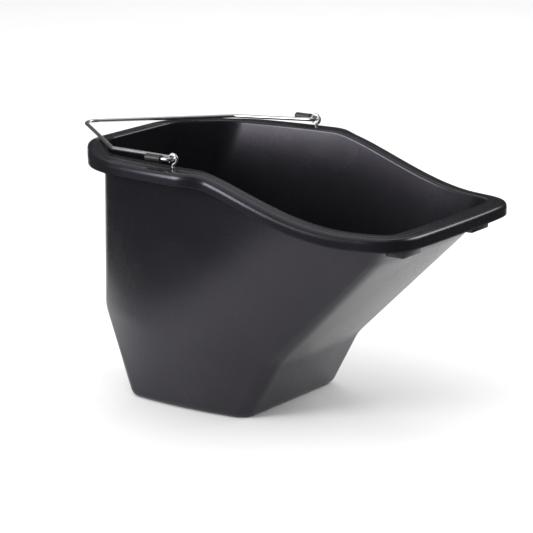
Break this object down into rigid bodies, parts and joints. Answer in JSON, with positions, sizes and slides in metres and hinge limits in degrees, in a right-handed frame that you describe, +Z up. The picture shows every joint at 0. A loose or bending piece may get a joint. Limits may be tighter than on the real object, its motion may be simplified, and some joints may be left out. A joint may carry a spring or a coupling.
{
  "type": "feed bucket",
  "caption": "Flat-backed moulded feed bucket with a low sloping front lip, a rolled flange and a swinging wire bail in eye bolts.",
  "frame": {"origin": "centre of the flat base, where the bucket stands", "axes": "+X forwards to the low front lip, +Y to the bucket's left, +Z up"},
  "size_m": [0.5495, 0.3442, 0.3256],
  "materials": {
    "black_plastic": "semi-gloss black moulded polyethylene with a fine moulded grain",
    "bright_steel": "bright zinc-plated drawn steel wire and fasteners",
    "black_vinyl": "soft dull black vinyl sleeve"
  },
  "bodies": {
    "bucket": {"bucket_shell": "black_plastic", "eye_bolt_left": "bright_steel", "eye_bolt_right": "bright_steel", "washer_left": "bright_steel", "washer_right": "bright_steel", "nut_left": "bright_steel", "nut_right": "bright_steel"},
    "bail": {"bail_handle": "bright_steel", "hook_sleeve_left": "black_vinyl", "hook_sleeve_right": "black_vinyl"}
  },
  "joints": [
    {"name": "bail_swing", "type": "hinge", "parent": "bucket", "child": "bail", "pos_m": [0.0224, 0, 0.3183], "axis": [0, 1, 0], "range_deg": [0, 185]}
  ]
}
